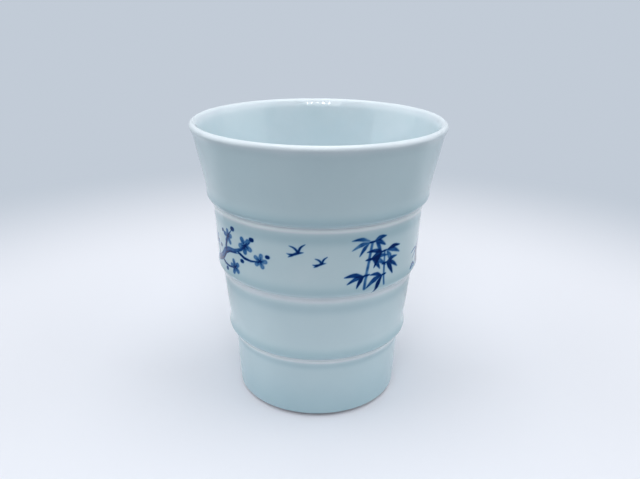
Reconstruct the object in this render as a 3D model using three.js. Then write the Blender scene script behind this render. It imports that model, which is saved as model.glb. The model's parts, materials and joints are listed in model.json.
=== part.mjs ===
// A handleless porcelain cup. Four stacked tiers step in one under the other, with a fine
// raised ring at each step, a flared rim with a rounded lip, and a bare foot ring.
// The clay body is cut at its turned steps into the sections that a potter would name,
// and so is the glaze over it, so that each tier can be coloured by itself.
// Units are millimetres, +Z is up, and the origin is on the axis at the standing plane.

import * as THREE from "three";

// Tier heights, from the standing plane to the lip
const FOOT_TIER_HEIGHT = 23.3;
const LOWER_TIER_HEIGHT = 25;
const PAINTED_TIER_HEIGHT = 25;
const RIM_TIER_HEIGHT = 28;

// Radius at the foot, and how far each tier leans out from its own foot to its top
const BASE_RADIUS = 29.7;
const FOOT_TIER_FLARE = 1.5;
const LOWER_TIER_FLARE = 1.7;
const PAINTED_TIER_FLARE = 1.2;
const RIM_TIER_FLARE = 4.9;

// How far the rolled shoulder of each tier stands out from the ring under it
const LOWER_TIER_STEP = 2;
const PAINTED_TIER_STEP = 1.4;
const RIM_TIER_STEP = 1.85;

// How far the neck over each shoulder stands out from it, or is drawn in where negative
const LOWER_TIER_NECK = -0.45;
const PAINTED_TIER_NECK = -0.15;
const RIM_TIER_NECK = 0.15;

// Shape of a step: the raised ring, the groove over it, the rolled shoulder and the neck
const RING_PROUD = 0.45;
const RING_UNDER = 2;
const GROOVE_DEPTH = 0.25;
const GROOVE_RISE = 1;
const ROLL_RISE = 1.9;
const ROLL_DEPTH = 0.6;
const SHOULDER_RISE = 3;
const NECK_RISE = 3.5;
const RING_SEAT = 0.7;

// Walls, glaze and lip
const GLAZE = 0.4;
const GROOVE_WALL = 2.8;
const FOOT_WALL = 3;
const LIP_THICKNESS = 2.7;
const LIP_FLARE = 1.15;
const LIP_NECK_DROP = 4;
const LIP_SEAT = 1;

// Floor and foot
const FLOOR_LEVEL = 7.3;
const FLOOR_FILLET = 8;
const FOOT_HEIGHT = 3.2;
const FOOT_WIDTH = 4.2;
const FOOT_BEVEL = 1.4;
const FOOT_RECESS = 2.4;
const FLOOR_SEAT = 1;

// Facets round the axis, and along the lip and the floor fillet
const SEGMENTS = 40;
const LIP_STEPS = 6;
const FILLET_STEPS = 4;

const PORCELAIN = { color: 0xd9dbde, roughness: 0.75, metalness: 0 };
const GLAZE_COAT = { color: 0xc6d8df, roughness: 0.12, metalness: 0 };

const point = (r, z) => new THREE.Vector2(r, z);
const last = (list) => list[list.length - 1];

// Where the straight line from a to b reaches the height z
function atHeight(a, b, z) {
  return point(THREE.MathUtils.mapLinear(z, a.y, b.y, a.x, b.x), z);
}

// A run of points moved sideways to the left of its direction, with mitred corners
function offsetLeft(run, distance) {
  const normals = run.slice(1).map((end, i) => {
    const along = end.clone().sub(run[i]).normalize();
    return point(-along.y, along.x);
  });
  return run.map((corner, i) => {
    const before = normals[Math.max(i - 1, 0)];
    const after = normals[Math.min(i, normals.length - 1)];
    const mitre = before.clone().add(after).normalize();
    return corner.clone().addScaledVector(mitre, distance / mitre.dot(after));
  });
}

// Points on a circle, from one angle to another in equal steps
function arc(centre, radius, from, to, steps) {
  return Array.from({ length: steps + 1 }, (_, i) => {
    const angle = THREE.MathUtils.lerp(from, to, i / steps);
    return point(centre.x + radius * Math.cos(angle), centre.y + radius * Math.sin(angle));
  });
}

// Each stepped tier from the bottom up, with the ring that it stands over
const steppedTiers = [
  [LOWER_TIER_HEIGHT, LOWER_TIER_STEP, LOWER_TIER_NECK, LOWER_TIER_FLARE],
  [PAINTED_TIER_HEIGHT, PAINTED_TIER_STEP, PAINTED_TIER_NECK, PAINTED_TIER_FLARE],
  [RIM_TIER_HEIGHT, RIM_TIER_STEP, RIM_TIER_NECK, RIM_TIER_FLARE],
].map(([height, step, neck, flare]) => ({ height, step, neck, flare }));
let tierFoot = point(BASE_RADIUS + FOOT_TIER_FLARE, FOOT_TIER_HEIGHT);
for (const tier of steppedTiers) {
  tier.ring = tierFoot;
  tier.shoulder = tierFoot.x + tier.step;
  tierFoot = point(tier.shoulder + tier.flare, tierFoot.y + tier.height);
}
const lipRadius = tierFoot.x;
const cupHeight = tierFoot.y;

// Outside surface of the glaze, from the foot to the crest of the lip.
// Every ring adds three points and every shoulder three more.
const outside = [point(BASE_RADIUS, FOOT_BEVEL)];
const grooveIndex = [];
for (const { ring, shoulder, neck } of steppedTiers) {
  outside.push(
    point(ring.x - RING_PROUD, ring.y - RING_UNDER),
    ring,
    point(ring.x - GROOVE_DEPTH, ring.y + GROOVE_RISE),
  );
  grooveIndex.push(outside.length - 1);
  const crest = ring.y + SHOULDER_RISE;
  outside.push(
    point(shoulder - ROLL_DEPTH, ring.y + ROLL_RISE),
    point(shoulder, crest),
    point(shoulder + neck, crest + NECK_RISE),
  );
}
const lipIndex = outside.length;
const lipNeck = point(lipRadius - LIP_FLARE, cupHeight - LIP_NECK_DROP);
const lipRound = LIP_THICKNESS / 2;
const lipCentre = point(lipRadius - lipRound, cupHeight - lipRound);
outside.push(lipNeck, ...arc(lipCentre, lipRound, 0, Math.PI / 2, LIP_STEPS / 2));

// The clay lies one glaze thickness behind it. The coat ends level at the foot, and square
// on the crest of the lip, where the inside glaze takes over.
const outsideClay = offsetLeft(outside, GLAZE);
outsideClay[0].copy(atHeight(outsideClay[0], outsideClay[1], FOOT_BEVEL));
last(outsideClay).set(lipCentre.x, cupHeight - GLAZE);

// Joints between the clay sections: level with the top of the foot, at the bottom of each
// groove, and under the flare of the lip
const footJoint = atHeight(outsideClay[0], outsideClay[1], FOOT_HEIGHT);
const joints = grooveIndex.map((index) => outsideClay[index].y);
const lipJoint = lipNeck.y - LIP_SEAT;
const lipFoot = atHeight(outsideClay[lipIndex - 1], outsideClay[lipIndex], lipJoint);

// The foot ring, and the floor disc that rests on its inner edge
const footInner = footJoint.x - FOOT_WIDTH;
const floorRadius = footInner + FLOOR_SEAT;

// Inside surface, from the crest of the lip down to the axis. The clay behind it has the
// same corners, moved out by the glaze.
function insideSurface(depth) {
  const wall = steppedTiers.map(({ ring }, i) => (
    point(ring.x - GROOVE_DEPTH - GROOVE_WALL + depth, joints[i])
  ));
  const lip = arc(lipCentre, lipRound - depth, Math.PI / 2, Math.PI, LIP_STEPS / 2);
  const floorCorner = point(BASE_RADIUS - FOOT_WALL - FLOOR_FILLET, FLOOR_LEVEL + FLOOR_FILLET);
  const seat = Math.acos((floorRadius - floorCorner.x) / (FLOOR_FILLET + GLAZE));
  const round = FLOOR_FILLET + depth;
  return {
    lip: [...lip, atHeight(last(lip), last(wall), lipJoint)],
    wall: wall.reverse(),
    wallFillet: arc(floorCorner, round, 0, -seat, FILLET_STEPS / 2),
    floorFillet: arc(floorCorner, round, -seat, -Math.PI / 2, FILLET_STEPS / 2),
    middle: point(0, FLOOR_LEVEL - depth),
  };
}
const inside = insideSurface(0);
const insideClay = insideSurface(GLAZE);

const cup = new THREE.Group();
cup.name = "handleless_cup";

// A turned piece from its section, which runs up its outer side. A section that doesn't
// start on the axis is closed on itself.
function turned(name, section, look) {
  const profile = section[0].x === 0 ? section : [...section, section[0]];
  const geometry = new THREE.LatheGeometry(profile, SEGMENTS);
  geometry.rotateX(Math.PI / 2);
  const mesh = new THREE.Mesh(geometry, new THREE.MeshStandardMaterial(look));
  mesh.name = name;
  cup.add(mesh);
}

// The bare foot ring carries the floor and the lowest tier on its flat top
turned("foot_ring", [
  point(footInner, 0),
  point(outsideClay[0].x - FOOT_RECESS, 0),
  outsideClay[0],
  footJoint,
  point(footInner, FOOT_HEIGHT),
], PORCELAIN);

turned("base_floor", [
  point(0, FOOT_HEIGHT),
  point(floorRadius, FOOT_HEIGHT),
  ...insideClay.floorFillet,
  insideClay.middle,
], PORCELAIN);

// Each raised ring sits in a rebate at the top of the tier under it
function raisedRing(name, index) {
  const [below, crest, groove] = outsideClay.slice(grooveIndex[index] - 2, grooveIndex[index] + 1);
  const seat = groove.x - RING_SEAT;
  turned(name, [below, crest, groove, point(seat, groove.y), point(seat, below.y)], PORCELAIN);
  return [below, point(seat, below.y), point(seat, groove.y)];
}
const lowerRebate = raisedRing("lower_ring", 0);
const middleRebate = raisedRing("middle_ring", 1);
const upperRebate = raisedRing("upper_ring", 2);

turned("foot_tier", [
  point(floorRadius, FOOT_HEIGHT),
  footJoint,
  ...lowerRebate,
  insideClay.wall[2],
  ...insideClay.wallFillet,
], PORCELAIN);

turned("lower_tier", [
  ...outsideClay.slice(grooveIndex[0], grooveIndex[1] - 2),
  ...middleRebate,
  insideClay.wall[1],
  insideClay.wall[2],
], PORCELAIN);

turned("painted_tier", [
  ...outsideClay.slice(grooveIndex[1], grooveIndex[2] - 2),
  ...upperRebate,
  insideClay.wall[0],
  insideClay.wall[1],
], PORCELAIN);

turned("rim_tier", [
  ...outsideClay.slice(grooveIndex[2], lipIndex),
  lipFoot,
  last(insideClay.lip),
  insideClay.wall[0],
], PORCELAIN);

turned("lip_ring", [
  lipFoot,
  ...outsideClay.slice(lipIndex),
  ...insideClay.lip.slice(1),
], PORCELAIN);

// The glaze coats, each between its own surface and the clay behind it
function tierGlaze(name, from, to) {
  const surface = outside.slice(from, to + 1);
  const back = outsideClay.slice(from, to + 1).reverse();
  turned(name, [...surface, ...back], GLAZE_COAT);
}
tierGlaze("foot_tier_glaze", 0, grooveIndex[0]);
tierGlaze("lower_tier_glaze", grooveIndex[0], grooveIndex[1]);
tierGlaze("painted_tier_glaze", grooveIndex[1], grooveIndex[2]);
tierGlaze("rim_tier_glaze", grooveIndex[2], outside.length - 1);

const insideRun = ({ lip, wall, wallFillet, floorFillet, middle }) => (
  [...lip, ...wall, ...wallFillet, ...floorFillet.slice(1), middle]
);
turned("inside_glaze", [
  ...insideRun(insideClay).reverse(),
  ...insideRun(inside),
], GLAZE_COAT);

turned("underside_glaze", [
  point(0, FOOT_HEIGHT - GLAZE),
  point(footInner, FOOT_HEIGHT - GLAZE),
  point(footInner, FOOT_HEIGHT),
  point(0, FOOT_HEIGHT),
], GLAZE_COAT);

export default cup;
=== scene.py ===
"""A handleless porcelain cup with stacked tiers, pale glaze and a brush-painted blue band.

Every node of the frame gets a finely turned piece in the same place. The glaze runs thin and
white over the lip and the rings and pools blue beside them, by an amount at each vertex, which
also carries painted light and shade: a highlight on the rings, shade in each roll, under each
ring and towards the foot, and a paler inside. The painting is an amount of blue pigment at each
vertex of the painted tier's glaze.
"""

import json
import math

import bpy
import numpy as np
from mathutils import Matrix, Vector


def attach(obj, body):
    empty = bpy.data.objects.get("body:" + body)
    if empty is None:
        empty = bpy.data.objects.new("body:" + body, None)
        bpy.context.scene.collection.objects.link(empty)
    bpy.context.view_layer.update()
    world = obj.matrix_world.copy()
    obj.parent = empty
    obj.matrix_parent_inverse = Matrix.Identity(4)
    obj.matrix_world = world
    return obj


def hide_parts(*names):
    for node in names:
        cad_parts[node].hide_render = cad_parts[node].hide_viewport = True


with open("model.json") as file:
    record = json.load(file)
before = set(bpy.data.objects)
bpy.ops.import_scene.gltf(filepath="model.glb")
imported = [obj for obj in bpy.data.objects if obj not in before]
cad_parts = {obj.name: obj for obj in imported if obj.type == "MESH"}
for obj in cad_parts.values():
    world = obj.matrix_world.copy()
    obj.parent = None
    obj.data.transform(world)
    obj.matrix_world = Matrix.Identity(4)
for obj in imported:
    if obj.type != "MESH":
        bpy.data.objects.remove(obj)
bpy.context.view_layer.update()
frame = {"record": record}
SLOTS = {part["node"]: part["material_slot"] for part in frame["record"]["subparts"]}

# The cup's sizes are in millimetres, and become metres when a mesh is made
MM = 0.001

# Tiers and rings from the foot up, with the radii of each step, as in the CAD model
TIERS = ("foot", "lower", "painted", "rim")
RINGS = ("lower", "middle", "upper")
RING_HEIGHTS = (23.3, 48.3, 73.3)
RING_RADII = (31.2, 34.9, 37.5)
SHOULDER_RADII = (33.2, 36.3, 39.35)
NECK_RADII = (32.75, 36.15, 39.5)
BASE_RADIUS = 29.7
LIP_RADIUS = 44.25
CUP_HEIGHT = 101.3

# Shape of a step, from under the ring to the neck over the rolled shoulder
RING_PROUD = 0.45
RING_UNDER = 2.0
GROOVE_DEPTH = 0.25
GROOVE_RISE = 1.0
ROLL_RISE = 1.9
ROLL_DEPTH = 0.6
SHOULDER_RISE = 3.0
NECK_RISE = 3.5
RING_SEAT = 0.7

# Walls, glaze, lip, floor and foot
GLAZE = 0.4
GROOVE_WALL = 2.8
FOOT_WALL = 3.0
LIP_THICKNESS = 2.7
LIP_ROUND = LIP_THICKNESS / 2
LIP_CORNER = 0.432
LIP_FLARE = 1.15
LIP_NECK_DROP = 4.0
LIP_SEAT = 1.0
INNER_FLARE = 0.6
INNER_DROP = 2.5
FLOOR_LEVEL = 7.3
FLOOR_FILLET = 8.0
FOOT_HEIGHT = 3.2
FOOT_WIDTH = 4.2
FOOT_BEVEL = 1.4
FOOT_RECESS = 2.4
FLOOR_SEAT = 1.0

# Radii that round the corners of the profile
UNDER_FILLET = 3.0
RING_FILLETS = (0.6, 1.5, 0.6)
GROOVE_FILLET = 1.5
ROLL_FILLET = 3.0
SHOULDER_FILLET = 4.0
NECK_FILLET = 30.0
WALL_FILLET = 90.0
LIP_FILLET = 1.1
LIP_NECK_FILLET = 12.0
INNER_FILLET = 6.0
FOOT_FILLET = 0.6
FOOT_EDGE = 0.3

# Fineness of the turned pieces. A corner's curve has FILLET_POINTS points, and takes at most
# FILLET_SHARE of the shorter side beside it.
SEGMENTS = 192
PAINTED_SEGMENTS = 804
SURFACE_STEP = 0.25
INSIDE_STEP = 0.5
HIDDEN_STEP = 2.0
FILLET_POINTS = 13
FILLET_SHARE = 0.48
SHARP_ANGLE = math.radians(50)
ON_AXIS = 1e-6

# Baking map: its margin, how far hidden faces are squeezed, and how many strips it may have
BAKE_MARGIN = 0.01
HIDDEN_WEIGHT = 0.15
STRIP_COUNTS = (1, 2, 3, 4)

# Glaze colours from pooled, at 0, over its plain body, at 0.5, to bare white edges, at 1. The
# amount that picks them also holds painted shade, towards 0, and painted light, towards 1.
GLAZE_STOPS = (
    (0.0, 0.41, 0.59, 0.67),
    (0.5, 0.57, 0.725, 0.79),
    (0.75, 0.74, 0.825, 0.895),
    (1.0, 0.84, 0.95, 0.99),
)
PLAIN_THIN = 0.5
GLAZE_IOR = 1.5
GLAZE_SPECULAR = 0.4

# Slow drift in the glaze's thickness, and the faint ripple and uneven gloss of its surface
CLOUD_SCALE = 70.0
CLOUD_DETAIL = 3.0
CLOUD_DRIFT = 0.09
RIPPLE_SCALE = 320.0
RIPPLE_DETAIL = 2.0
RIPPLE_STRENGTH = 0.06
RIPPLE_DEPTH = 0.0004
GLOSS = (0.03, 0.07)

# How thin the glaze is, with painted light and shade in the same amount: more on the rings, partly a
# painted highlight, and the lip that it drains off; less where it gathers in each roll and under each
# ring, and towards the foot, each partly painted shade. The inside is drawn paler, which is painted
# light.
OUTSIDE_THIN = 0.48
INSIDE_LIT_LEVEL = 0.58
LIP_THIN = 0.8
LIP_DRAIN = 2.5
INSIDE_DRAIN = 3.0
FOOT_POOL_AND_SHADE = 0.46
FOOT_SHADE_REACH = 16.0
RING_PALE_AND_LIT = (0.55, 0.3, 0.58)
RING_PALE_REACH = (1.0, 1.8, 1.0)
RING_PALE_RISE = (0.4, 0.4, 0.1)
ROLL_POOL_AND_SHADE = 0.4
ROLL_SHADE_RISE = (3.4, 3.5, 3.0)
ROLL_SHADE_REACH = 2.0
UNDER_POOL_AND_SHADE = (0.28, 0.28, 0.36)
UNDER_SHADE_DROP = (1.9, 3.2, 3.2)
UNDER_SHADE_REACH = (1.2, 2.0, 2.0)

# Bare fired clay: its colours by grain, and how fine and deep the grain is
CLAY_STOPS = (
    (0.3, 0.64, 0.66, 0.68),
    (0.7, 0.76, 0.78, 0.80),
)
CLAY_ROUGHNESS = 0.75
GRAIN_SCALE = 900.0
GRAIN_DETAIL = 4.0
GRAIN_STRENGTH = 0.25
GRAIN_DEPTH = 0.0002

# What the glaze colour is multiplied by, from no cobalt to a full brush of it
INK_STOPS = (
    (0.0, 1.0, 1.0, 1.0),
    (0.2, 0.46, 0.63, 0.82),
    (0.45, 0.08, 0.235, 0.51),
    (0.7, 0.012, 0.085, 0.31),
    (1.0, 0.002, 0.025, 0.15),
)

# Brushwork: a stroke's soft dark edge, what it adds over another, the width left at its tips and how
# it swells from them, the fade of a blunt end, half the length of a dot, and the cut that smooths a path
BAND_RADIUS = 36.9
EDGE_FADE = 0.4
EDGE_DARK = 0.25
EDGE_REACH = 0.3
OVERLAP = 0.3
TIP = 0.02
SWELL = 0.7
BLUNT = 0.01
DAB = 0.2
PATH_CUT = 0.25

# Under the glaze the cobalt has a faint halo and is mottled. A blur ends at BLUR_SPAN times its reach.
HALO = 0.12
HALO_REACH = 0.9
MOTTLE = 0.12
MOTTLE_REACH = 0.8
BLUR_SPAN = 3
PAINT_SEED = 11

# Floor, in metres: its colours near the cup and far off, as they are seen and as they light the cup,
# and how dark the gloss shows it in front. Each fade runs between two distances.
FLOOR_HALF = 20.0
FLOOR_NEAR = (0.77, 0.80, 0.87)
FLOOR_FAR = (0.54, 0.60, 0.68)
FLOOR_FADE = (0.15, 0.34)
BOUNCE_NEAR = (0.77, 0.77, 0.81)
BOUNCE_FAR = (0.22, 0.24, 0.27)
BOUNCE_FADE = (0.10, 0.24)
FRONT_DARK = (0.05, 0.055, 0.06)
FRONT_FADE = (0.0, 0.1)
DARK_FADE = (0.12, 0.07)
FLOOR_ROUGHNESS = 0.9
FLOOR_SPECULAR = 0.1

# Lamps: size and place in metres, the point that each faces, and watts
LAMPS = (
    ("overhead", 1.2, (0, 0, 1.4), (0, 0, 0), 9.2),
    ("front_fill", 0.8, (-0.08, -0.95, 1.1), (0, 0, 0), 5.25),
    ("left_fill", 1.4, (-1.2, 0, 0.68), (0, 0, 0.05), 6.2),
    ("right_fill", 1.4, (1.2, 0, 0.68), (0, 0, 0.05), 6.2),
)

# A row of small lamps that glint on the far side of the lip
GLINT_SIZE = 0.03
GLINT_ACROSS = (-0.2, -0.085, 0.025, 0.135, 0.245)
GLINT_DEPTH = -0.9
GLINT_HEIGHT = 1.0
GLINT_AIM = (0, 0, 0.1)
GLINT_WATTS = 0.19

# Tones of the room, from 0 in front of the cup to 1 behind it: as they light it, and in its gloss
ROOM_LIGHT = (
    (0.18, 0.03, 0.03, 0.03),
    (0.34, 0.38, 0.38, 0.38),
    (0.66, 0.38, 0.38, 0.38),
    (0.82, 0.26, 0.26, 0.26),
)
ROOM_SHINE = (
    (0.18, 0.03, 0.03, 0.03),
    (0.34, 0.34, 0.38, 0.43),
    (0.5, 0.42, 0.47, 0.53),
    (0.7, *FLOOR_FAR),
)

# Camera, with its angles in radians
LENS_MM = 36.86
SENSOR_MM = 36
CAMERA_PLACE = (0.83 * MM, -225.2 * MM, 142.7 * MM)
CAMERA_PITCH = 0.3654
CAMERA_ROLL = 0.0101
CLIP_START = 0.01


# Profiles: runs of (radius, height) points

def lengths_along(run):
    """The distance of each point of a run from its start."""
    return np.concatenate([[0], np.cumsum(np.hypot(*np.diff(run, axis=0).T))])


def spaced(run, step):
    """A run with the same ends and even spacing of about step."""
    along = lengths_along(run)
    count = max(int(round(along[-1] / step)), 1)
    even = np.linspace(0, along[-1], count + 1)
    return np.stack([np.interp(even, along, run[:, i]) for i in (0, 1)], 1)


def rounded(corners, step):
    """A run through corners of (radius, height, fillet), evenly spaced, each corner a curve."""
    points = np.array([corner[:2] for corner in corners], float)
    run = [points[0]]
    for before, corner, after, (_, _, fillet) in zip(points, points[1:], points[2:], corners[1:]):
        inward, outward = corner - before, after - corner
        lengths = np.hypot(*inward), np.hypot(*outward)
        inward, outward = inward / lengths[0], outward / lengths[1]
        turn = math.acos(np.clip(inward @ outward, -1, 1))
        reach = min(fillet * math.tan(turn / 2), FILLET_SHARE * min(lengths))
        start, end = corner - inward * reach, corner + outward * reach
        for t in np.linspace(0, 1, FILLET_POINTS):
            run.append((1 - t) ** 2 * start + 2 * t * (1 - t) * corner + t ** 2 * end)
    run.append(points[-1])
    return spaced(np.array(run), step)


def set_back(run, depth):
    """A run moved to the left of its direction by depth."""
    along = np.gradient(run, axis=0)
    along /= np.hypot(*along.T)[:, None]
    return run + depth * np.stack([-along[:, 1], along[:, 0]], 1)


def between(run, low, high):
    """The part of a rising run from one height to another."""
    inner = run[(run[:, 1] > low) & (run[:, 1] < high)]
    ends = [(np.interp(height, run[:, 1], run[:, 0]), height) for height in (low, high)]
    return np.concatenate([ends[:1], inner, ends[1:]])


def step_corners(ring):
    """The corners of one step, from under the raised ring to the neck over the shoulder."""
    radius, height = RING_RADII[ring], RING_HEIGHTS[ring]
    shoulder, crest = SHOULDER_RADII[ring], height + SHOULDER_RISE
    return [
        (radius - RING_PROUD, height - RING_UNDER, UNDER_FILLET),
        (radius, height, RING_FILLETS[ring]),
        (radius - GROOVE_DEPTH, height + GROOVE_RISE, GROOVE_FILLET),
        (shoulder - ROLL_DEPTH, height + ROLL_RISE, ROLL_FILLET),
        (shoulder, crest, SHOULDER_FILLET),
        (NECK_RADII[ring], crest + NECK_RISE, NECK_FILLET),
    ]


def outside_profile():
    """The outside of the glaze, from its edge over the foot to the crest of the lip."""
    corners = [(BASE_RADIUS - GLAZE, FOOT_BEVEL, 0), (BASE_RADIUS, FOOT_BEVEL + GLAZE, FOOT_FILLET)]
    for ring in range(len(RINGS)):
        corners += step_corners(ring)
    corners += [
        (LIP_RADIUS - LIP_FLARE, CUP_HEIGHT - LIP_NECK_DROP, LIP_NECK_FILLET),
        (LIP_RADIUS, CUP_HEIGHT - LIP_ROUND, LIP_FILLET),
        (LIP_RADIUS - LIP_CORNER, CUP_HEIGHT - LIP_CORNER, LIP_FILLET),
        (LIP_RADIUS - LIP_ROUND, CUP_HEIGHT, 0),
    ]
    return rounded(corners, SURFACE_STEP)


def inside_profile():
    """The inside of the glaze, from the crest of the lip down to the axis."""
    inner_lip = LIP_RADIUS - LIP_THICKNESS
    corners = [
        (LIP_RADIUS - LIP_ROUND, CUP_HEIGHT, 0),
        (inner_lip + LIP_CORNER, CUP_HEIGHT - LIP_CORNER, LIP_FILLET),
        (inner_lip - INNER_FLARE, CUP_HEIGHT - INNER_DROP, INNER_FILLET),
    ]
    for radius, height in zip(RING_RADII[::-1], RING_HEIGHTS[::-1]):
        corners.append((radius - GROOVE_DEPTH - GROOVE_WALL, height + GROOVE_RISE, WALL_FILLET))
    corners += [(BASE_RADIUS - FOOT_WALL, FLOOR_LEVEL, FLOOR_FILLET), (0, FLOOR_LEVEL, 0)]
    return rounded(corners, INSIDE_STEP)


# Turned meshes

def baking_map(section, segments, shown):
    """Texture corners of each band of faces and segment, for four corners a face.

    The strip of faces round the axis is cut into a few that are stacked, so that they fill a square.
    Bands between points that aren't shown are squeezed.
    """
    closed = np.concatenate([section, section[:1]])
    seen = np.concatenate([shown, shown[:1]])
    weight = np.where(seen[1:] & seen[:-1], 1, HIDDEN_WEIGHT)
    place = np.concatenate([[0], np.cumsum(weight * np.hypot(*np.diff(closed, axis=0).T))])
    round_it = 2 * math.pi * section[:, 0].max()
    strips = min(STRIP_COUNTS, key=lambda count: abs(count * count - round_it / place[-1]))
    each = segments // strips
    strip, spot = np.divmod(np.arange(segments), each)
    left, right = (BAKE_MARGIN + (1 - 2 * BAKE_MARGIN) * (spot + i) / each for i in (0, 1))
    level = BAKE_MARGIN + (1 - 2 * BAKE_MARGIN) * place / place[-1]
    corners = np.empty((len(section), segments, 4, 2))
    for corner, across, up in ((0, left, 0), (1, right, 0), (2, right, 1), (3, left, 1)):
        corners[:, :, corner, 0] = across
        corners[:, :, corner, 1] = (strip + level[up:len(section) + up, None]) / strips
    return corners


def turned_faces(rows, segments, capped):
    """Faces between rows of points round the axis.

    The last row joins the first, or each end row joins its pole, which come after the other points.
    """
    index = np.arange(rows * segments).reshape(rows, segments)
    lower = index[:-1] if capped else index
    upper = index[1:] if capped else np.roll(index, -1, 0)
    quads = np.stack([lower, np.roll(lower, -1, 1), np.roll(upper, -1, 1), upper], 2)
    faces = quads.reshape(-1, 4).tolist()
    if capped:
        low_pole, high_pole = index.size, index.size + 1
        after = np.roll(index, -1, 1)
        faces += [(low_pole, b, a) for a, b in zip(index[0], after[0])]
        faces += [(high_pole, a, b) for a, b in zip(index[-1], after[-1])]
    return faces


def turned(name, section, segments, material, layers, shown):
    """A closed mesh of a section turned round the Z axis.

    The section runs up its outer side. It closes on itself, or starts and ends on the axis.
    layers holds (attribute name, one number a point of the section, or a table of them by segment).
    shown says which points of the section are in view.
    """
    section = np.asarray(section, float)
    capped = section[0, 0] < ON_AXIS
    rows = section[1:-1] if capped else section
    angle = np.arange(segments) * (2 * math.pi / segments)
    radius, height = rows.T[:, :, None]
    places = np.stack(np.broadcast_arrays(radius * np.cos(angle), radius * np.sin(angle), height), 2)
    places = places.reshape(-1, 3)
    corners = baking_map(section, segments, shown)
    if capped:
        places = np.concatenate([places, [(0, 0, section[0, 1]), (0, 0, section[-1, 1])]])
        low, high = corners[0][:, [0, 2, 3]], corners[-2][:, [2, 0, 1]]
        corners = np.concatenate([part.reshape(-1, 2) for part in (corners[1:-2], low, high)])
    faces = turned_faces(len(rows), segments, capped)
    mesh = bpy.data.meshes.new(name)
    mesh.from_pydata((places * MM).tolist(), [], faces)
    mesh.polygons.foreach_set("use_smooth", np.ones(len(faces), bool))
    mesh.uv_layers.new(name="OFBake").data.foreach_set("uv", corners.reshape(-1).astype(np.float32))
    for attribute, values in layers:
        values = np.asarray(values, float).reshape(len(section), -1)
        table = np.broadcast_to(values, (len(section), segments))
        flat = table.reshape(-1)
        if capped:
            flat = np.concatenate([table[1:-1].reshape(-1), table[[0, -1], 0]])
        data = mesh.attributes.new(attribute, "FLOAT", "POINT").data
        data.foreach_set("value", flat.astype(np.float32))
    mesh.update()
    mesh.set_sharp_from_angle(angle=SHARP_ANGLE)
    mesh.materials.append(material)
    piece = bpy.data.objects.new(name, mesh)
    bpy.context.scene.collection.objects.link(piece)
    return piece


# Materials

def new_material(name):
    material = bpy.data.materials.new(name)
    material.use_nodes = True
    tree = material.node_tree
    return material, tree, tree.nodes["Principled BSDF"]


def add(tree, kind, settings=(), **inputs):
    """A new node, with settings of its own and plain values or links for its inputs."""
    made = tree.nodes.new(kind)
    for key, value in dict(settings).items():
        setattr(made, key, value)
    for key, value in inputs.items():
        socket = made.inputs[key.replace("_", " ")]
        if isinstance(value, bpy.types.NodeSocket):
            tree.links.new(value, socket)
        else:
            socket.default_value = value
    return made


def ramp(tree, factor, stops):
    """A colour ramp of (place, red, green, blue) stops."""
    made = add(tree, "ShaderNodeValToRGB", Fac=factor)
    elements = made.color_ramp.elements
    while len(elements) < len(stops):
        elements.new(0.5)
    for element, (place, *colour) in zip(elements, stops):
        element.position = place
        element.color = (*colour, 1)
    return made.outputs["Color"]


def mixed(tree, factor, first, second, blend="MIX"):
    """A colour mixed from two by a factor."""
    settings = {"data_type": "RGBA", "blend_type": blend}
    return add(tree, "ShaderNodeMix", settings, Factor=factor, A=first, B=second).outputs["Result"]


def number(tree, operation, first, second):
    """What a Math node makes of two numbers."""
    made = add(tree, "ShaderNodeMath", {"operation": operation})
    tree.links.new(first, made.inputs[0])
    tree.links.new(second, made.inputs[1])
    return made.outputs["Value"]


def share_of(tree, value, ends, **settings):
    """How far a number has come from the first of two ends to the second, from 0 to 1."""
    made = add(tree, "ShaderNodeMapRange", settings, Value=value, From_Min=ends[0], From_Max=ends[1])
    return made.outputs["Result"]


def spread(tree, share, ends):
    """The number at a share of the way from the first of two ends to the second."""
    made = add(tree, "ShaderNodeMapRange", Value=share, To_Min=ends[0], To_Max=ends[1])
    return made.outputs["Result"]


def noise(tree, place, scale, detail):
    return add(tree, "ShaderNodeTexNoise", Vector=place, Scale=scale, Detail=detail).outputs["Fac"]


def amount(tree, attribute):
    """A number that the mesh holds at each vertex."""
    return add(tree, "ShaderNodeAttribute", {"attribute_name": attribute}).outputs["Fac"]


def bumpy(tree, shader, height, strength, depth):
    """Gives a shader's surface a fine relief."""
    bump = add(tree, "ShaderNodeBump", Height=height, Strength=strength, Distance=depth)
    tree.links.new(bump.outputs["Normal"], shader.inputs["Normal"])


def glaze_material(name, painted=False):
    """Pale gloss glaze: bluer where it pools and where shade is painted, near white where it runs thin
    over an edge and where light is painted.
    """
    material, tree, shader = new_material(name)
    place = add(tree, "ShaderNodeTexCoord").outputs["Object"]
    cloud = noise(tree, place, CLOUD_SCALE, CLOUD_DETAIL)
    drift = spread(tree, cloud, (-CLOUD_DRIFT, CLOUD_DRIFT))
    colour = ramp(tree, number(tree, "ADD", amount(tree, "thin_and_light"), drift), GLAZE_STOPS)
    if painted:
        tint = ramp(tree, amount(tree, "ink"), INK_STOPS)
        colour = mixed(tree, 1.0, colour, tint, "MULTIPLY")
    tree.links.new(colour, shader.inputs["Base Color"])
    ripple = noise(tree, place, RIPPLE_SCALE, RIPPLE_DETAIL)
    tree.links.new(spread(tree, ripple, GLOSS), shader.inputs["Roughness"])
    bumpy(tree, shader, ripple, RIPPLE_STRENGTH, RIPPLE_DEPTH)
    shader.inputs["IOR"].default_value = GLAZE_IOR
    shader.inputs["Specular IOR Level"].default_value = GLAZE_SPECULAR
    return material


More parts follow.
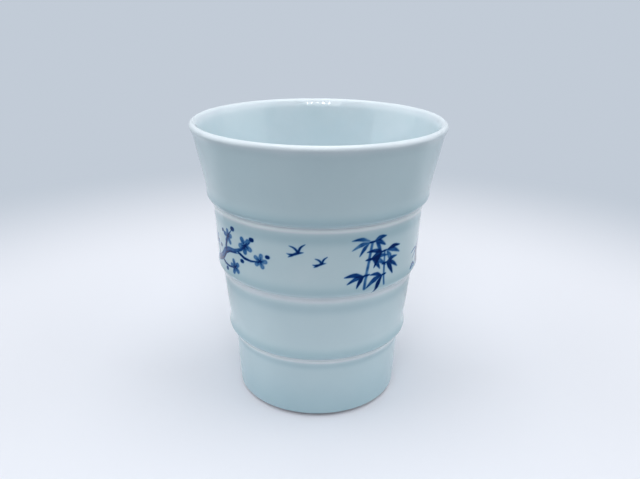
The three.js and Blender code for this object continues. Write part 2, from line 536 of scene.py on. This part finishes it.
def clay_material():
    """Bare fired porcelain: matte and off-white, with a fine grain."""
    material, tree, shader = new_material("bare_porcelain")
    place = add(tree, "ShaderNodeTexCoord").outputs["Object"]
    grain = noise(tree, place, GRAIN_SCALE, GRAIN_DETAIL)
    tree.links.new(ramp(tree, grain, CLAY_STOPS), shader.inputs["Base Color"])
    bumpy(tree, shader, grain, GRAIN_STRENGTH, GRAIN_DEPTH)
    shader.inputs["Roughness"].default_value = CLAY_ROUGHNESS
    return material


MATERIALS = {
    "bare_porcelain": clay_material(),
    "pale_glaze": glaze_material("pale_glaze"),
    "painted_glaze": glaze_material("painted_glaze", painted=True),
}


# Pieces

def piece_for(node, section, segments=SEGMENTS, layers=(), shown=None):
    """A fine turned piece that stands for a node of the frame, in the node's material slot."""
    slot = SLOTS[node]
    if shown is None:
        shown = np.ones(len(section), bool)
    piece = turned(f"{node}_fine", section, segments, MATERIALS[slot], layers, shown)
    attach(piece, "root")
    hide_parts(node)


def hump(values, middle, reach):
    return np.exp(-((values - middle) / reach) ** 2)


def outside_glaze_and_light(run):
    along, height = lengths_along(run), run[:, 1]
    thin_and_light = OUTSIDE_THIN + (LIP_THIN - OUTSIDE_THIN) * hump(along, along[-1], LIP_DRAIN)
    # Darker and bluer towards the foot: glaze gathered there, and painted shade near the floor
    thin_and_light -= FOOT_POOL_AND_SHADE * hump(height, 0, FOOT_SHADE_REACH)
    for i, ring in enumerate(RING_HEIGHTS):
        # Paler over each ring: glaze run thin over its edge, and a painted highlight set high to lighten
        # the crease
        thin_and_light += RING_PALE_AND_LIT[i] * hump(height, ring + RING_PALE_RISE[i], RING_PALE_REACH[i])
        # Darker in each roll: glaze gathered there, and painted shade
        thin_and_light -= ROLL_POOL_AND_SHADE * hump(height, ring + ROLL_SHADE_RISE[i], ROLL_SHADE_REACH)
        # Darker under each ring: glaze gathered there, and painted shade
        thin_and_light -= UNDER_POOL_AND_SHADE[i] * hump(height, ring - UNDER_SHADE_DROP[i], UNDER_SHADE_REACH[i])
    return np.clip(thin_and_light, 0, 1)


def inside_glaze_and_light(run):
    # The inside is drawn paler than the outside, which is painted light, and paler still where the glaze
    # drains off the lip
    return INSIDE_LIT_LEVEL + (LIP_THIN - INSIDE_LIT_LEVEL) * hump(lengths_along(run), 0, INSIDE_DRAIN)


def glaze_coat(node, front, back, thin_and_light, segments=SEGMENTS, ink=None):
    """A coat between its shining front and the clay behind it, which runs back to its start."""
    back = spaced(back[::-1], HIDDEN_STEP)
    layers = [("thin_and_light", np.concatenate([thin_and_light, np.full(len(back), PLAIN_THIN)]))]
    if ink is not None:
        layers.append(("ink", np.concatenate([ink, np.zeros((len(back), segments))])))
    shown = np.arange(len(front) + len(back)) < len(front)
    piece_for(node, np.concatenate([front, back]), segments, layers, shown)


# The painting: cobalt brushwork on the unrolled band. Along runs round the cup in millimetres, from
# 0 at the front towards +X, and up is the height over the ring at the band's foot.

def smooth(path, rounds):
    """A path with its corners cut, so many times over, and its ends kept."""
    points = np.array(path, float)
    for _ in range(rounds):
        near = (1 - PATH_CUT) * points[:-1] + PATH_CUT * points[1:]
        far = PATH_CUT * points[:-1] + (1 - PATH_CUT) * points[1:]
        inner = np.stack([near, far], 1).reshape(-1, 2)
        points = np.concatenate([points[:1], inner, points[-1:]])
    return points


def blurred(table, reach):
    """A table by height and turn, blurred over reach in steps of each. It wraps round the turn."""
    for axis, step in enumerate(reach):
        count = int(BLUR_SPAN * step) + 1
        weights = hump(np.arange(-count, count + 1), 0, step)
        if axis == 0:
            padded = np.pad(table, ((count, count), (0, 0)), "edge")
        else:
            padded = np.pad(table, ((0, 0), (count, count)), "wrap")
        size = table.shape[axis]
        table = sum(weight * padded.take(range(i, i + size), axis) for i, weight in enumerate(weights))
        table = table / weights.sum()
    return table


class Band:
    """An unrolled band of glaze, and the cobalt that brush strokes leave on it."""

    def __init__(self, front, segments):
        size = (len(front), segments)
        angle = np.arange(segments) * (2 * math.pi / segments)
        turn = (angle + 1.5 * math.pi) % (2 * math.pi) - math.pi
        self.along = np.broadcast_to(turn * BAND_RADIUS, size)
        self.up = np.broadcast_to((front[:, 1] - RING_HEIGHTS[1])[:, None], size)
        self.ink = np.zeros(size)
        self.cell = (SURFACE_STEP, BAND_RADIUS * 2 * math.pi / segments)

    def stroke(self, path, width, tone, fade_in=0.2, fade_out=0.5, rounds=3):
        """One pull of the brush: full width in the middle, and thinner over a share of each end."""
        points = smooth(path, rounds)
        place = lengths_along(points)
        place = place / place[-1]
        swell = np.minimum(1, np.minimum((place + TIP) / fade_in, (1 + TIP - place) / fade_out))
        half = width / 2 * np.clip(swell, 0, 1) ** SWELL
        low, high = points.min(0) - width, points.max(0) + width
        near = np.nonzero((self.along > low[0]) & (self.along < high[0])
                          & (self.up > low[1]) & (self.up < high[1]))
        spots = np.stack([self.along[near], self.up[near]], 1)
        depth = np.full(len(spots), -np.inf)
        for start, end, first, final in zip(points, points[1:], half, half[1:]):
            leg = end - start
            part = np.clip((spots - start) @ leg / (leg @ leg), 0, 1)
            gap = np.hypot(*(spots - start - part[:, None] * leg).T)
            depth = np.maximum(depth, first + (final - first) * part - gap)
        cover = np.clip(depth / EDGE_FADE + 0.5, 0, 1)
        tones = tone * cover * (1 + EDGE_DARK * hump(depth, EDGE_FADE / 2, EDGE_REACH))
        old = self.ink[near]
        self.ink[near] = np.maximum(old, tones) + OVERLAP * np.minimum(old, tones)

    def leaf(self, base, angle, length, width, tone, sag=0.12):
        """A pointed leaf that leaves base at an angle in degrees and sags a little."""
        tip = length * np.array([math.cos(math.radians(angle)), math.sin(math.radians(angle))])
        middle = np.array(base) + tip / 2 + (0, sag * length)
        self.stroke([base, middle, np.array(base) + tip], width, tone, fade_in=0.45, fade_out=0.6)

    def dot(self, x, y, size, tone):
        self.stroke([(x - size * DAB, y), (x + size * DAB, y)], size, tone, BLUNT, BLUNT, rounds=0)

    def blossom(self, x, y, size, turn):
        """Five dabbed petals round a dark eye, with a short stamen on each."""
        for petal in range(5):
            angle = math.radians(turn + 72 * petal)
            aim = np.array([math.cos(angle), math.sin(angle)])
            reach = [np.array([x, y]) + size * part * aim for part in (0.2, 0.5, 0.62, 0.78)]
            self.stroke([reach[1], reach[3]], 0.62 * size, 0.36, BLUNT, BLUNT, rounds=0)
            self.stroke([reach[0], reach[2]], 0.4, 0.9, BLUNT, 0.4, rounds=0)
        self.dot(x, y, 0.8, 0.9)


def plum_branch(band, x, lean):
    """A knotted branch that climbs from x, to the right where lean is 1, with twigs and blossoms."""
    def place(*spots):
        return [(x + lean * a, b) for a, b in spots]

    trunk = place((0, 5.5), (7, 8), (11, 12.5), (19, 13.5), (25, 18.5))
    shade = place((0.5, 4.9), (7.5, 7.3), (11.8, 11.8), (19, 12.8))
    band.stroke(trunk, 2.2, 0.5, 0.1, 0.7, rounds=1)
    band.stroke(shade, 0.7, 0.9, 0.1, 0.6, rounds=1)
    for twig, width in (
        (((10.5, 12), (12.5, 17), (16, 20.5)), 0.9),
        (((18.5, 13.4), (23, 11.5), (29.5, 12.4)), 0.9),
        (((6, 7.8), (10.5, 6), (16.5, 6.8)), 0.8),
        (((3, 6.5), (3.5, 10.5), (2, 14)), 0.8),
    ):
        band.stroke(place(*twig), width, 0.85, 0.1, 0.8, rounds=1)
    for spot, size, turn in (
        ((13, 17.2), 2.7, 20), ((22.4, 16.6), 3.0, 50), ((28.6, 12.6), 2.6, 5),
        ((16.2, 7.2), 2.7, 35), ((2.2, 13.2), 2.3, 62),
    ):
        band.blossom(*place(spot)[0], size, turn)
    for spot, size in (
        ((16.4, 20.9), 1.5), ((25.5, 19.4), 1.4), ((20.5, 10.6), 1.3), ((10.8, 5), 1.2),
        ((31.5, 14.6), 1.2), ((6.6, 12.2), 1.2), ((9.4, 18.6), 1.0),
    ):
        band.dot(*place(spot)[0], size, 0.8)


def bamboo(band, x, lean, rng):
    """Two culms from the ground at x, with fans of drooping leaves by turns left and right of them."""
    for foot, drift, width, tops in ((0, 0.8, 1.9, (8.5, 14, 20)), (8, -0.3, 1.4, (7.5, 11.5, 16))):
        low = np.array([x + lean * foot, 3.6])
        for joint, top in enumerate(tops):
            high = np.array([low[0] + lean * drift * (top - low[1]) / 6, top])
            band.stroke([low + (0, 0.35), high - (0, 0.35)], width, 0.4, 0.05, 0.05, rounds=0)
            band.stroke([high - (0.7 * width, 0.1), high + (0.7 * width, 0.1)], 0.6, 0.9, 0.3, 0.3)
            sides = [-lean if joint == 0 else lean]
            if joint == len(tops) - 1:
                sides = [-1, 1]
            for side in sides:
                for angle in (-58, -25, 8):
                    start = high + (side * rng.uniform(0.7, 1.3), rng.uniform(-0.4, 0.4))
                    aim = angle + rng.uniform(-7, 7)
                    length, wide = rng.uniform(4.8, 7.2), rng.uniform(1.3, 1.8)
                    tone = rng.uniform(0.45, 0.95)
                    band.leaf(start, aim if side > 0 else 180 - aim, length, wide, tone)
            low = high


def grasses(band, x, rng):
    """A tuft of long arching blades beside two washed stones."""
    for aim in np.linspace(-1, 1, 9):
        reach = aim * rng.uniform(6, 9)
        tall = rng.uniform(7, 12) * (1.1 - 0.4 * abs(aim))
        tip = (x + reach, 4 + tall * rng.uniform(0.5, 0.9))
        path = [(x + aim, 4), (x + 0.35 * reach, 4 + tall), tip]
        band.stroke(path, 0.85, rng.uniform(0.6, 0.95), 0.1, 0.7)
    for spot, size in ((-5.5, 2.6), (4.8, 3.4)):
        left, middle, right = x + spot - size, x + spot, x + spot + size
        band.stroke([(left, 4.1), (middle, 5.2), (right, 4.2)], 1.6, 0.25, 0.3, 0.3)
        band.stroke([(left, 4.3), (middle, 6.1), (right, 4.4)], 0.5, 0.8, 0.1, 0.4)


def bird(band, x, y, size, lean):
    """A small bird in flight: two swept wings, a body and a forked tail."""
    for path, width, tone in (
        (((0, 0), (-0.5, 0.75), (-1.3, 1.0)), 0.26, 0.85),
        (((0, 0), (0.3, 0.9), (1.0, 1.35)), 0.26, 0.85),
        (((-0.7, -0.3), (0, 0), (0.75, 0.1)), 0.36, 0.7),
        (((-0.6, -0.25), (-1.3, -0.35), (-1.7, -0.2)), 0.16, 0.8),
        (((-0.6, -0.3), (-1.2, -0.6), (-1.5, -0.75)), 0.16, 0.8),
    ):
        spots = [(x + lean * size * a, y + size * b) for a, b in path]
        band.stroke(spots, max(width * size, 0.5), tone, 0.15, 0.6)


def painting(front):
    """How much cobalt lies at each point of the painted band, by row and segment."""
    rng = np.random.default_rng(PAINT_SEED)
    band = Band(front, PAINTED_SEGMENTS)
    plum_branch(band, -48, 1)
    bird(band, -6, 17.5, 2.2, 1)
    bird(band, 1.5, 14, 1.7, 1)
    bamboo(band, 16, 1, rng)
    grasses(band, 48, rng)
    bird(band, 64, 16, 2.0, -1)
    plum_branch(band, 104, -1)
    bamboo(band, -88, -1, rng)
    grasses(band, -66, rng)
    bird(band, -107, 15.5, 2.0, -1)
    mottle = blurred(rng.standard_normal(band.ink.shape), [MOTTLE_REACH / size for size in band.cell])
    mottle = 1 + MOTTLE * mottle / mottle.std()
    halo = HALO * blurred(band.ink, [HALO_REACH / size for size in band.cell])
    return np.clip(band.ink * mottle + halo, 0, 1)


# The cup's surfaces. The clay lies one glaze thickness behind each.

clay_crest = (LIP_RADIUS - LIP_ROUND, CUP_HEIGHT - GLAZE)
outside = outside_profile()
outside_clay = set_back(outside, GLAZE)
outside_clay[0] = (BASE_RADIUS - GLAZE, FOOT_BEVEL)
outside_clay[-1] = clay_crest

inside = inside_profile()
inside_clay = set_back(inside, GLAZE)
inside_clay[0] = clay_crest
inside_clay[-1] = (0, FLOOR_LEVEL - GLAZE)

# The outside glaze is cut in the grooves, at the deepest point over each ring
cuts = [0]
for height in RING_HEIGHTS:
    near = np.flatnonzero(np.abs(outside[:, 1] - height - GROOVE_RISE) < GROOVE_RISE / 2)
    cuts.append(near[np.argmin(outside[near, 0])])
cuts.append(len(outside) - 1)

outside_thin_and_light = outside_glaze_and_light(outside)
for tier, first, final in zip(TIERS, cuts, cuts[1:]):
    stretch = slice(first, final + 1)
    front, back, thin_and_light = outside[stretch], outside_clay[stretch], outside_thin_and_light[stretch]
    if tier == "painted":
        glaze_coat(f"{tier}_tier_glaze", front, back, thin_and_light, PAINTED_SEGMENTS, painting(front))
    else:
        glaze_coat(f"{tier}_tier_glaze", front, back, thin_and_light)

# The inside glaze, from the axis up behind its surface and back down over it
inside_back = spaced(inside_clay[::-1], HIDDEN_STEP)
thin_and_light = np.concatenate([np.full(len(inside_back), PLAIN_THIN), inside_glaze_and_light(inside)])
shown = np.arange(len(thin_and_light)) >= len(inside_back)
piece_for("inside_glaze", np.concatenate([inside_back, inside]), SEGMENTS, [("thin_and_light", thin_and_light)], shown)

# The clay, cut level with the top of the foot, at the bottom of each groove and under the lip
inside_rising = inside_clay[::-1]
lip_joint = CUP_HEIGHT - LIP_NECK_DROP - LIP_SEAT
joints = [FOOT_HEIGHT, *(outside_clay[cut, 1] for cut in cuts[1:-1]), lip_joint]
foot_inner = between(outside_clay, FOOT_HEIGHT, lip_joint)[0, 0] - FOOT_WIDTH
floor_radius = foot_inner + FLOOR_SEAT
floor_clay = inside_clay[inside_clay[:, 0] < floor_radius]

piece_for("foot_ring", np.concatenate([
    rounded([
        (foot_inner, FOOT_HEIGHT, 0),
        (foot_inner, 0, FOOT_EDGE),
        (outside_clay[0, 0] - FOOT_RECESS, 0, FOOT_EDGE),
        (*outside_clay[0], FOOT_EDGE),
        (outside_clay[0, 0], FOOT_BEVEL + FOOT_EDGE, 0),
    ], SURFACE_STEP),
    between(outside_clay, FOOT_BEVEL + FOOT_EDGE, FOOT_HEIGHT)[1:],
]))

piece_for("base_floor", [(0, FOOT_HEIGHT), (floor_radius, FOOT_HEIGHT), *floor_clay])

for i, (tier, ring) in enumerate(zip(TIERS, RINGS)):
    low, high = joints[i], joints[i + 1]
    under = RING_HEIGHTS[i] - RING_UNDER
    seat = outside_clay[cuts[i + 1], 0] - RING_SEAT
    inner = between(inside_rising, low, high)[::-1]
    if tier == "foot":
        inner = [*inner[inner[:, 0] > floor_radius], floor_clay[0], (floor_radius, FOOT_HEIGHT)]
    rebate = [(seat, under), (seat, high)]
    piece_for(f"{tier}_tier", np.concatenate([between(outside_clay, low, under), rebate, inner]))
    piece_for(f"{ring}_ring", np.concatenate([between(outside_clay, under, high), rebate[::-1]]))

for node, low, high in (("rim_tier", joints[-2], lip_joint), ("lip_ring", lip_joint, clay_crest[1])):
    outer, inner = between(outside_clay, low, high), between(inside_rising, low, high)
    piece_for(node, np.concatenate([outer, inner[::-1]]))

# The glaze in the recess under the foot, with a fillet up to the inner side of the ring
under_glaze = rounded([
    (0, FOOT_HEIGHT - GLAZE, 0),
    (foot_inner, FOOT_HEIGHT - GLAZE, FOOT_FILLET),
    (foot_inner, FOOT_HEIGHT, 0),
], INSIDE_STEP)
under_glaze = np.concatenate([under_glaze, [(0, FOOT_HEIGHT)]])
piece_for("underside_glaze", under_glaze, layers=[("thin_and_light", np.full(len(under_glaze), PLAIN_THIN))])


# Studio: a pale floor of one even tone far off, soft lamps, a dim room and the camera

def floor_material():
    """Matte and pale round the cup. Far off it is one even tone, and it bounces less light.

    In the gloss it is dark in front, some way off the cup.
    """
    material, tree, shader = new_material("floor")
    place = add(tree, "ShaderNodeTexCoord").outputs["Object"]
    far = add(tree, "ShaderNodeVectorMath", {"operation": "LENGTH"}, Vector=place).outputs["Value"]
    depth = add(tree, "ShaderNodeSeparateXYZ", Vector=place).outputs["Y"]
    rays = add(tree, "ShaderNodeLightPath").outputs
    seen = number(tree, "MAXIMUM", rays["Is Camera Ray"], rays["Is Glossy Ray"])
    behind, close = share_of(tree, depth, FRONT_FADE), share_of(tree, far, DARK_FADE)
    pale = number(tree, "MAXIMUM", rays["Is Camera Ray"], number(tree, "MAXIMUM", behind, close))
    near = ramp(tree, pale, ((0.0, *FRONT_DARK), (1.0, *FLOOR_NEAR)))
    bounce = ramp(tree, share_of(tree, far, BOUNCE_FADE), ((0.0, *BOUNCE_NEAR), (1.0, *BOUNCE_FAR)))
    tree.links.new(mixed(tree, seen, bounce, near), shader.inputs["Base Color"])
    shader.inputs["Roughness"].default_value = FLOOR_ROUGHNESS
    shader.inputs["Specular IOR Level"].default_value = FLOOR_SPECULAR
    reach = share_of(tree, far, FLOOR_FADE, interpolation_type="SMOOTHSTEP")
    share = number(tree, "MULTIPLY", reach, number(tree, "MULTIPLY", seen, pale))
    even = add(tree, "ShaderNodeEmission", Color=(*FLOOR_FAR, 1), Strength=1.0)
    blend = add(tree, "ShaderNodeMixShader", Fac=share)
    tree.links.new(shader.outputs["BSDF"], blend.inputs[1])
    tree.links.new(even.outputs["Emission"], blend.inputs[2])
    tree.links.new(blend.outputs["Shader"], tree.nodes["Material Output"].inputs["Surface"])
    return material


floor_mesh = bpy.data.meshes.new("floor")
floor_mesh.from_pydata(
    [(x * FLOOR_HALF, y * FLOOR_HALF, 0) for x, y in ((-1, -1), (1, -1), (1, 1), (-1, 1))],
    [], [(0, 1, 2, 3)])
floor_mesh.materials.append(floor_material())
floor = bpy.data.objects.new("floor", floor_mesh)
bpy.context.scene.collection.objects.link(floor)


def soft_light(name, size, place, aim, watts):
    """A square white area light at place that faces aim."""
    lamp = bpy.data.lights.new(name, "AREA")
    lamp.shape = "SQUARE"
    lamp.size = size
    lamp.energy = watts
    made = bpy.data.objects.new(name, lamp)
    bpy.context.scene.collection.objects.link(made)
    made.location = place
    made.rotation_mode = "QUATERNION"
    made.rotation_quaternion = (Vector(aim) - Vector(place)).to_track_quat("-Z", "Y")


for lamp in LAMPS:
    soft_light(*lamp)
for i, across in enumerate(GLINT_ACROSS):
    place = (across, GLINT_DEPTH, GLINT_HEIGHT)
    soft_light(f"glint_{i}", GLINT_SIZE, place, GLINT_AIM, GLINT_WATTS)


def studio_world():
    """A dim room: palest at the sides of the cup, darkest in front. In the gloss its far side is pale.

    The camera sees the even tone of the far floor.
    """
    world = bpy.data.worlds.new("studio")
    bpy.context.scene.world = world
    world.use_nodes = True
    tree = world.node_tree
    facing = add(tree, "ShaderNodeTexCoord").outputs["Generated"]
    depth = add(tree, "ShaderNodeSeparateXYZ", Vector=facing).outputs["Y"]
    share = share_of(tree, depth, (-1.0, 1.0))
    rays = add(tree, "ShaderNodeLightPath").outputs
    light, shine = ramp(tree, share, ROOM_LIGHT), ramp(tree, share, ROOM_SHINE)
    around = mixed(tree, rays["Is Glossy Ray"], light, shine)
    seen = mixed(tree, rays["Is Camera Ray"], around, (*FLOOR_FAR, 1))
    tree.links.new(seen, tree.nodes["Background"].inputs["Color"])


studio_world()

camera = bpy.data.objects.new("camera", bpy.data.cameras.new("camera"))
camera.data.lens = LENS_MM
camera.data.sensor_width = SENSOR_MM
camera.data.clip_start = CLIP_START
camera.matrix_world = (
    Matrix.Translation(CAMERA_PLACE)
    @ Matrix.Rotation(math.pi / 2 - CAMERA_PITCH, 4, "X")
    @ Matrix.Rotation(CAMERA_ROLL, 4, "Z")
)
bpy.context.scene.collection.objects.link(camera)
bpy.context.scene.camera = camera
bpy.context.scene.view_settings.view_transform = "Standard"
